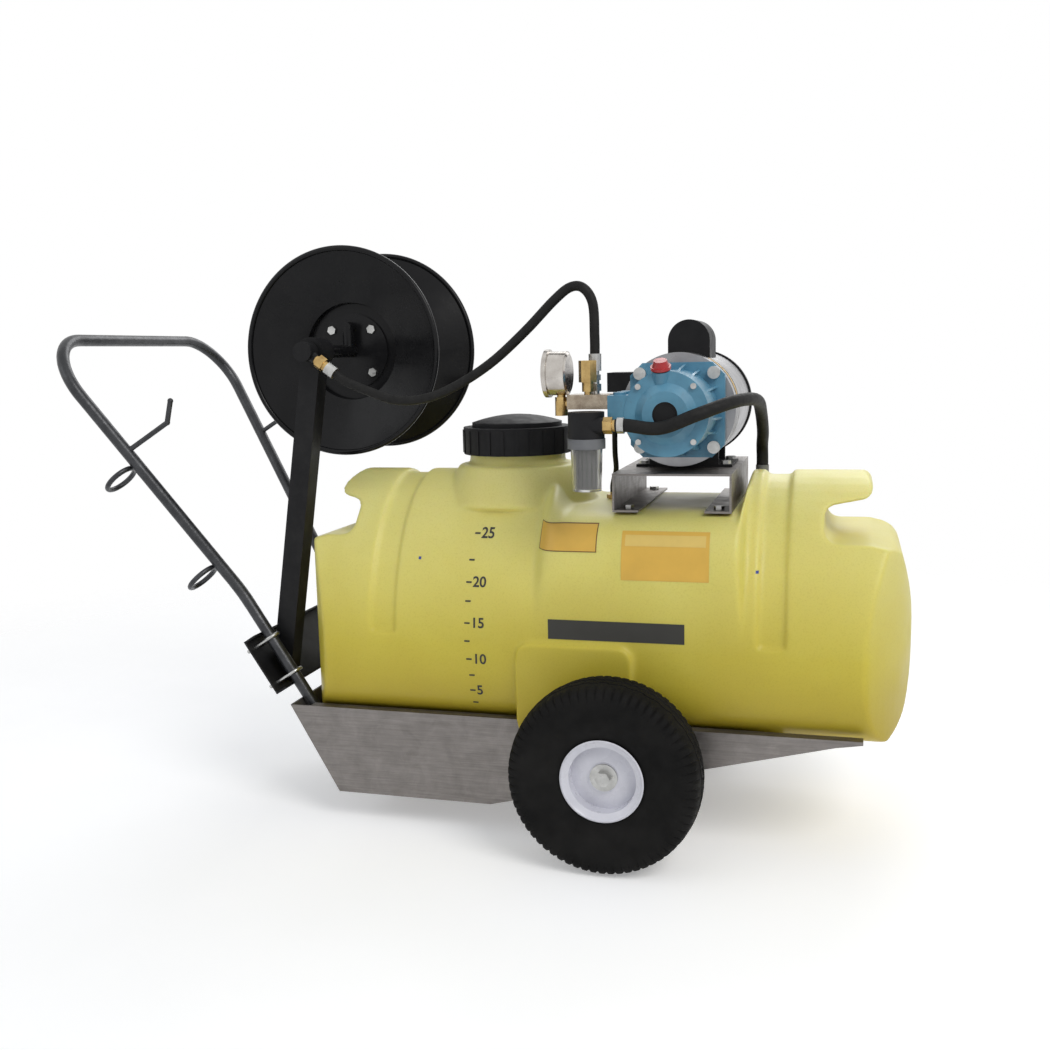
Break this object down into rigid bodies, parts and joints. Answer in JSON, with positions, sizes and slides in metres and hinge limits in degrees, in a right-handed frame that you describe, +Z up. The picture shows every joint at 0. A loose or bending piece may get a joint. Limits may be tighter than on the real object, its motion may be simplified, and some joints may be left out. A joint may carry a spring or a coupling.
{
  "type": "wheeled sprayer cart",
  "caption": "Push cart with a long poly spray tank in a steel trough, pneumatic wheels, sloped handle, hose reel, electric pump, gauge and strainer.",
  "frame": {"origin": "on the ground under the middle of the overall box", "axes": "+X towards the tank front away from the handle, +Z up, +Y to the left of someone pushing"},
  "size_m": [1.2985, 0.602, 0.8995],
  "materials": {
    "tank_poly": "translucent satin",
    "black_plastic": "matte moulded",
    "grey_plastic": "matte moulded",
    "brass": "dull machined",
    "bare_steel": "mottled mill finish",
    "zinc": "zinc plated",
    "tyre_rubber": "matte",
    "rim_white": "gloss",
    "grey_enamel": "hammered",
    "matte_black": "matte",
    "gloss_black": "gloss",
    "motor_silver": "satin",
    "pump_blue": "cast, semi-gloss",
    "red_plastic": "gloss",
    "hose_rubber": "matte",
    "nickel": "polished",
    "dial_white": "matte",
    "needle_black": "matte",
    "clear_plastic": "clear"
  },
  "bodies": {
    "cart": {"tank": "tank_poly", "dip_tube": "grey_plastic", "return_tap": "brass", "frame_trough": "bare_steel", "axle": "zinc", "wheel_bushes": "zinc", "axle_bolts": "zinc", "handle_tube": "grey_enamel", "frame_bolts": "zinc", "hose_hooks": "grey_enamel", "wand_rings": "grey_enamel", "reel_base": "matte_black", "u_bolts": "zinc", "reel_post": "matte_black", "inlet_swivel": "matte_black", "hose_fittings": "brass", "hose_ends": "zinc", "pump_bracket": "bare_steel", "motor_cradle": "matte_black", "motor_shell": "motor_silver", "motor_front": "motor_silver", "motor_bell": "matte_black", "capacitor_cover": "black_plastic", "conduit_box": "black_plastic", "pump_case": "pump_blue", "pump_cover": "pump_blue", "sight_glass": "black_plastic", "pump_studs": "zinc", "pump_manifold": "pump_blue", "valve_body": "nickel", "gauge_elbow": "brass", "gauge_case": "nickel", "gauge_dial": "dial_white", "gauge_lens": "clear_plastic", "strainer_head": "black_plastic", "pressure_hose": "hose_rubber", "suction_hose": "hose_rubber", "bypass_line": "hose_rubber"},
    "wheel_right": {"tyre_r": "tyre_rubber", "rim_r": "rim_white"},
    "wheel_left": {"tyre_l": "tyre_rubber", "rim_l": "rim_white"},
    "reel": {"reel_spindle": "gloss_black", "reel_drum": "gloss_black", "reel_disc_near": "gloss_black", "reel_disc_far": "gloss_black", "hub_bolts": "zinc", "crank_arm": "grey_enamel"},
    "knob": {"crank_knob": "black_plastic"},
    "cap_lid": {"cap_disc": "black_plastic"},
    "cap_nut": {"cap_ring": "black_plastic"},
    "regulator_core": {"regulator_stem": "brass"},
    "regulator": {"regulator_knob": "brass"},
    "needle": {"gauge_needle": "needle_black"},
    "filter": {"strainer_bowl": "clear_plastic", "strainer_screen": "grey_plastic"},
    "filter_nut": {"strainer_collar": "grey_plastic"},
    "oil_plug_seal": {"oil_cap_seal": "hose_rubber"},
    "oil_plug": {"oil_cap": "red_plastic"},
    "rotor": {"motor_rotor": "matte_black"}
  },
  "joints": [
    {"name": "wheel_right_spin", "type": "hinge", "parent": "cart", "child": "wheel_right", "pos_m": [0.236, -0.2585, 0.1365], "axis": [0, 1, 0], "continuous": true},
    {"name": "wheel_left_spin", "type": "hinge", "parent": "cart", "child": "wheel_left", "pos_m": [0.236, 0.2585, 0.1365], "axis": [0, 1, 0], "continuous": true},
    {"name": "reel_spin", "type": "hinge", "parent": "cart", "child": "reel", "pos_m": [-0.246, 0.073, 0.73], "axis": [0, 1, 0], "continuous": true},
    {"name": "knob_spin", "type": "hinge", "parent": "reel", "child": "knob", "pos_m": [-0.34937, 0.211, 0.76762], "axis": [0, 1, 0], "continuous": true},
    {"name": "cap_lift", "type": "slide", "parent": "cart", "child": "cap_lid", "axis": [0, 0, 1], "range_m": [0, 0.0125]},
    {"name": "cap_turn", "type": "hinge", "parent": "cap_lid", "child": "cap_nut", "pos_m": [0.045, 0, 0.6], "axis": [0, 0, 1], "range_deg": [0, 900]},
    {"name": "regulator_lift", "type": "slide", "parent": "cart", "child": "regulator_core", "axis": [0, 0, 1], "range_m": [-0.003, 0.003]},
    {"name": "regulator_turn", "type": "hinge", "parent": "regulator_core", "child": "regulator", "pos_m": [0.203, -0.188, 0.68], "axis": [0, 0, 1], "range_deg": [-720, 720]},
    {"name": "needle_sweep", "type": "hinge", "parent": "cart", "child": "needle", "pos_m": [0.15, -0.188, 0.6909], "axis": [1, 0, 0], "range_deg": [0, 270]},
    {"name": "bowl_drop", "type": "slide", "parent": "cart", "child": "filter", "axis": [0, 0, -1], "range_m": [0, 0.009]},
    {"name": "collar_turn", "type": "hinge", "parent": "filter", "child": "filter_nut", "pos_m": [0.209, -0.228, 0.595], "axis": [0, 0, -1], "range_deg": [0, 540]},
    {"name": "oil_plug_lift", "type": "slide", "parent": "cart", "child": "oil_plug_seal", "axis": [0, -0.3746, 0.9272], "range_m": [0, 0.006]},
    {"name": "oil_plug_turn", "type": "hinge", "parent": "oil_plug_seal", "child": "oil_plug", "pos_m": [0.309, -0.186, 0.6339], "axis": [0, -0.3746, 0.9272], "range_deg": [0, 1080]},
    {"name": "rotor_spin", "type": "hinge", "parent": "cart", "child": "rotor", "pos_m": [0.316, 0, 0.6339], "axis": [0, 1, 0], "continuous": true}
  ],
  "couplings": [
    {"joint": "cap_turn", "follows": "cap_lift", "rad_per_m": 1256.6},
    {"joint": "regulator_turn", "follows": "regulator_lift", "rad_per_m": 4188.8},
    {"joint": "collar_turn", "follows": "bowl_drop", "rad_per_m": 1047.2},
    {"joint": "oil_plug_turn", "follows": "oil_plug_lift", "rad_per_m": 3141.6}
  ]
}
